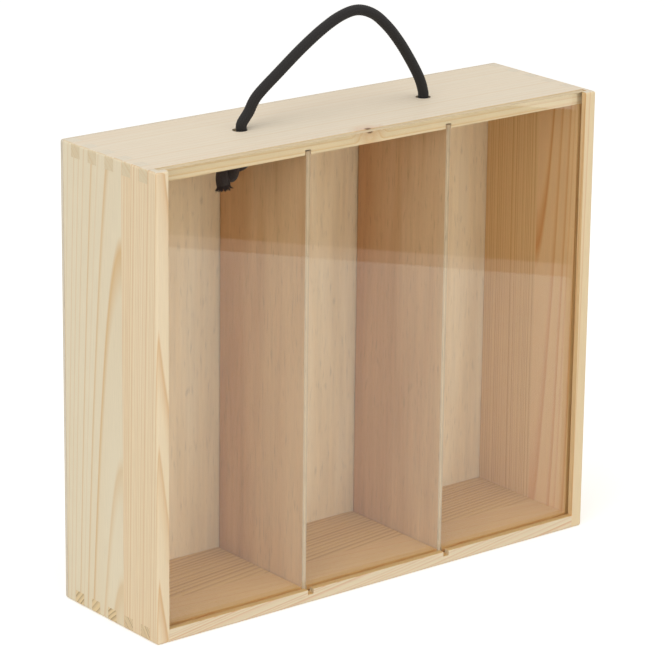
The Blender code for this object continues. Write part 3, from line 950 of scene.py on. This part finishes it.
def plywood(name, thin, middle, thickness, veneers, edges, lean=0.0, painted_rear_shade=None):
    """Three-ply sheet, standing upright, with three veneer colours from light to dark.

    thin is the axis through it, and middle its place there, in mm. edges are the colours of the
    outer veneers and of the middle one as the edges show them. The last argument is a tint that
    darkens the veneer towards the back of the box, along a wavy line from the figure: painted shade.
    """
    material, add, surface = new_material(name)
    here = add("TexCoord").outputs
    place = add("VectorMath SCALE", here["Object"], 1 / MM)
    fibres = stretched_noise(add, place, 2, 2.4, 50, 2.0)
    pores = stretched_noise(add, place, 2, 1.3, 9, 1.0)
    pores = add("MapRange", pores, 0.6, 0.76, 1.0, 0.82)
    figure = stretched_noise(add, place, 2, 16, 160, 2.0)
    fill(figure, {"Distortion": 0.3})
    veneer = add("ValToRGB", figure)
    stops = veneer.color_ramp.elements
    stops[0].position, stops[1].position = 0.28, 0.74
    stops[0].color, stops[1].color = linear(veneers[0]), linear(veneers[2])
    stops.new(0.5).color = linear(veneers[1])
    axes = add("SeparateXYZ", place).outputs
    depth = add("Math MULTIPLY_ADD", axes[2], -lean, axes[thin])
    depth = add("Math ABSOLUTE", add("Math SUBTRACT", depth, middle))
    core = add("Math LESS_THAN", depth, thickness / 6)
    facing = add("SeparateXYZ", here["Normal"]).outputs[thin]
    edge = add("Math LESS_THAN", add("Math ABSOLUTE", facing), 0.8)
    core = add("Math MULTIPLY", core, edge)
    face = veneer
    if painted_rear_shade:
        # Painted shade: the veneer darkens towards the back of the box, along a wavy line from the
        # figure.
        towards = add("Math MULTIPLY_ADD", figure, 24.0, axes[1])
        towards = add("MapRange", towards, 8.0, 56.0)
        towards = add("Mix RGBA", towards, "#FFFFFF", painted_rear_shade)
        face = add("VectorMath MULTIPLY", veneer, towards)
    layers = add("Mix RGBA", edge, face, edges[0])
    layers = add("Mix RGBA", core, layers, edges[1])
    spread = add("MapRange", fibres, 0.25, 0.75, 0.94, 1.05)
    spread = add("Math MULTIPLY", spread, pores)
    finish_surface(add, surface, add("VectorMath SCALE", layers, spread), 0.6, 0.15, 0.03 * MM, pores)
    return material


# %% The plywood back
panel = new_object("plywood_back", outside.data.copy())
build = bmesh.new()
build.from_mesh(panel.data)
trimmed = bmesh.ops.bisect_plane(
    build, geom=build.verts[:] + build.edges[:] + build.faces[:], plane_co=(0, panel_low.y, 0),
    plane_no=(0, -1, 0), clear_outer=True)
rim = [item for item in trimmed["geom_cut"] if isinstance(item, bmesh.types.BMEdge)]
bmesh.ops.contextual_create(build, geom=rim)
bmesh.ops.recalc_face_normals(build, faces=build.faces[:])
build.to_mesh(panel.data)
build.free()
panel_middle = (panel_low.y + panel_high.y) / 2 / MM
panel.data.materials.append(plywood(
    "poplar plywood, back", 1, panel_middle, (panel_high.y - panel_low.y) / MM,
    ("#ECD8B4", "#E8D0A8", "#E0C69C"), ("#E9DFCC", "#DACDB4")))
soften(panel)
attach(panel, "case")
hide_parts("back_panel")
print("back panel has", len(panel.data.polygons), "faces")

# %% The dividers
DIVIDER_THICKNESS = 3.2 * MM
DIVIDER_LEAN = 0.00095
DIVIDER_FORWARD = 0.4 * MM
DIVIDER_EASING = 0.3 * MM
for name, middle_x in zip(("divider_left", "divider_right"), divider_x):
    low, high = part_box(name)
    middle = (middle_x - DIVIDER_LEAN * (low.z + high.z) / 2) / MM
    low = Vector((middle_x - DIVIDER_THICKNESS / 2, low.y - DIVIDER_FORWARD, low.z))
    high = Vector((middle_x + DIVIDER_THICKNESS / 2, high.y - DIVIDER_FORWARD, high.z))
    divider = rounded_box("plywood_" + name, low, high, DIVIDER_EASING, 3, DIVIDER_LEAN)
    # The last colour darkens the dividers towards the back of the box: painted shade.
    divider.data.materials.append(plywood(
        "poplar plywood, " + name.replace("_", " "), 0, middle, DIVIDER_THICKNESS / MM,
        ("#E1C196", "#DBB98E", "#D2AC80"), ("#BFA582", "#CBB48F"), DIVIDER_LEAN, "#F0DCC8"))
    soften(divider)
    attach(divider, "case")
    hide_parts(name)
print("plywood pieces made")

# %% [markdown]
# The lid is cast acrylic, clear and smooth on its faces. Its top edge was only sawn, so it is matt
# and milky and gets a material of its own. A clear sheet would hold back the lamps' light and
# leave the inside dark, so for shadow rays the shader is transparent.

# %% The clear lid
LID_EASING = 0.3 * MM
SAW_MARKS = 0.8 * MM
acrylic, add, clear = new_material("cast acrylic, polished")
fill(clear, {"Base Color": "#FEFFFF", "Roughness": 0.0, "IOR": 1.49, "Transmission Weight": 1.0})
is_shadow = add("LightPath").outputs["Is Shadow Ray"]
fill(acrylic.node_tree.nodes["Material Output"], {
    "Surface": add("MixShader", is_shadow, clear, add("BsdfTransparent"))})

sawn_edge, add, matt = new_material("cast acrylic, sawn edge")
marks = add("TexNoise", sockets={
    "Vector": add("TexCoord").outputs["Object"], "Scale": 1 / SAW_MARKS, "Detail": 2.0})
milky = add("Mix RGBA", marks, "#CFB68D", "#DDC7A1")
finish_surface(add, matt, milky, 0.55, 0.4, 0.05 * MM, marks)

lid = rounded_box("acrylic_lid", lid_low, lid_high, LID_EASING, 3)
lid.data.materials.append(acrylic)
soften(lid)
lid.data.materials.append(sawn_edge)
for face in lid.data.polygons:
    face.material_index = int(face.normal.z > 0.7)
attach(lid, "lid")
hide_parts("clear_sliding_lid")
print("lid faces that are sawn:", sum(face.material_index for face in lid.data.polygons))

# %% Panel pins
steel, add, metal = new_material("bright drawn steel")
scratches = add("TexNoise", sockets={
    "Vector": add("TexCoord").outputs["Object"], "Scale": 1 / (0.3 * MM)})
fill(metal, {"Base Color": "#B9B7B2", "Metallic": 1.0,
             "Roughness": add("MapRange", scratches, 0.3, 0.7, 0.25, 0.45)})
pins = [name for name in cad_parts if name.startswith("back_panel_pin")]
for name in pins:
    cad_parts[name].data.materials.clear()
    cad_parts[name].data.materials.append(steel)
bpy.data.objects.remove(outside)
print("pins:", len(pins))

# %% [markdown]
# The room is a photographer's: a pale floor, a white surround and soft light from all sides, with
# a little more from above and from the left. The floor and the world show themselves as white to
# the camera, in reflections and through the lid, but light the box with less, so that the wood
# keeps its colour. To the right the white sweep ends, and the dark room beyond it is what the upper
# part of the clear lid mirrors. Two flat cards stand for it. Neither the camera nor the soft light
# on the box sees them, only what is mirrored or seen through the lid.

# %% Floor and world
WORLD_LIGHT = 0.58
FLOOR_GLOW = 0.42
FLOOR_COLOUR = "#F0EEEA"
WHITE = "#FFFFFF"
BLACK = "#000000"


def seen_directly(add):
    """1 for rays from the camera, in reflections and through clear things, else 0."""
    path = add("LightPath").outputs
    straight = add("Math MAXIMUM", path["Is Camera Ray"], path["Is Glossy Ray"])
    return add("Math MAXIMUM", straight, path["Is Transmission Ray"])


world = bpy.data.worlds.new("soft white room")
world.use_nodes = True
bpy.context.scene.world = world
add = adder(world.node_tree)
strength = add("Math MULTIPLY_ADD", seen_directly(add), 1 - WORLD_LIGHT, WORLD_LIGHT)
fill(world.node_tree.nodes["Background"], {"Color": WHITE, "Strength": strength})
bpy.ops.mesh.primitive_plane_add(size=12)
floor = bpy.context.object
floor.name = "studio_floor"
paper, add, matt = new_material("pale paper")
floor.data.materials.append(paper)
fill(matt, {
    "Base Color": FLOOR_COLOUR, "Roughness": 0.9, "Specular IOR Level": 0.0,
    "Emission Color": WHITE,
    "Emission Strength": add("Math MULTIPLY", seen_directly(add), FLOOR_GLOW)})
print("world light:", WORLD_LIGHT)

# %% The cards that the lid mirrors
SWEEP_EDGE = 0.716
SWEEP_SHADE = 0.681
SWEEP_DEPTH = 0.5
CARD_REACH = 1.0
CARD_LIFT = 2 * MM
aside = Vector((math.cos(AZIMUTH), math.sin(AZIMUTH), 0))
ahead = Vector((-math.sin(AZIMUTH), math.cos(AZIMUTH), 0))
for name, near, far, colour in (
        ("dark room past the sweep", SWEEP_EDGE, SWEEP_EDGE + SWEEP_DEPTH, "#6E5850"),
        ("shaded edge of the sweep", SWEEP_SHADE, SWEEP_EDGE, "#CFC0BD")):
    corners = [aside * reach + ahead * side * CARD_REACH + Vector((0, 0, CARD_LIFT))
               for reach, side in ((near, -1), (far, -1), (far, 1), (near, 1))]
    mesh = bpy.data.meshes.new(name)
    mesh.from_pydata(corners, [], [(0, 1, 2, 3)])
    shade, _, flat = new_material(name)
    fill(flat, {"Base Color": BLACK, "Specular IOR Level": 0.0, "Emission Color": colour,
                "Emission Strength": 1.0})
    mesh.materials.append(shade)
    card = new_object(name, mesh)
    card.visible_camera = False
    card.visible_diffuse = False
    card.visible_shadow = False
    print(name, "reaches", round((far - near) / MM), "mm")

# %% Soft lamps
BOX_MIDDLE = Vector((0, 0, height / 2))
for name, place, size, power in (
        ("lamp above", (-0.4, -0.3, 2.6), 1.8, 16.5),
        ("lamp left", (-2.6, -1.2, 1.5), 1.8, 16.5),
        ("lamp front", (0.4, -2.8, 0.4), 1.2, 12)):
    lamp = new_object(name, bpy.data.lights.new(name, "AREA"))
    lamp.data.shape = "SQUARE"
    lamp.data.size = size
    lamp.data.energy = power
    turn = (BOX_MIDDLE - Vector(place)).to_track_quat("-Z", "Y").to_matrix().to_4x4()
    lamp.matrix_world = Matrix.Translation(place) @ turn
bpy.context.scene.view_settings.view_transform = "Standard"
print("lamps:", len(bpy.data.lights))
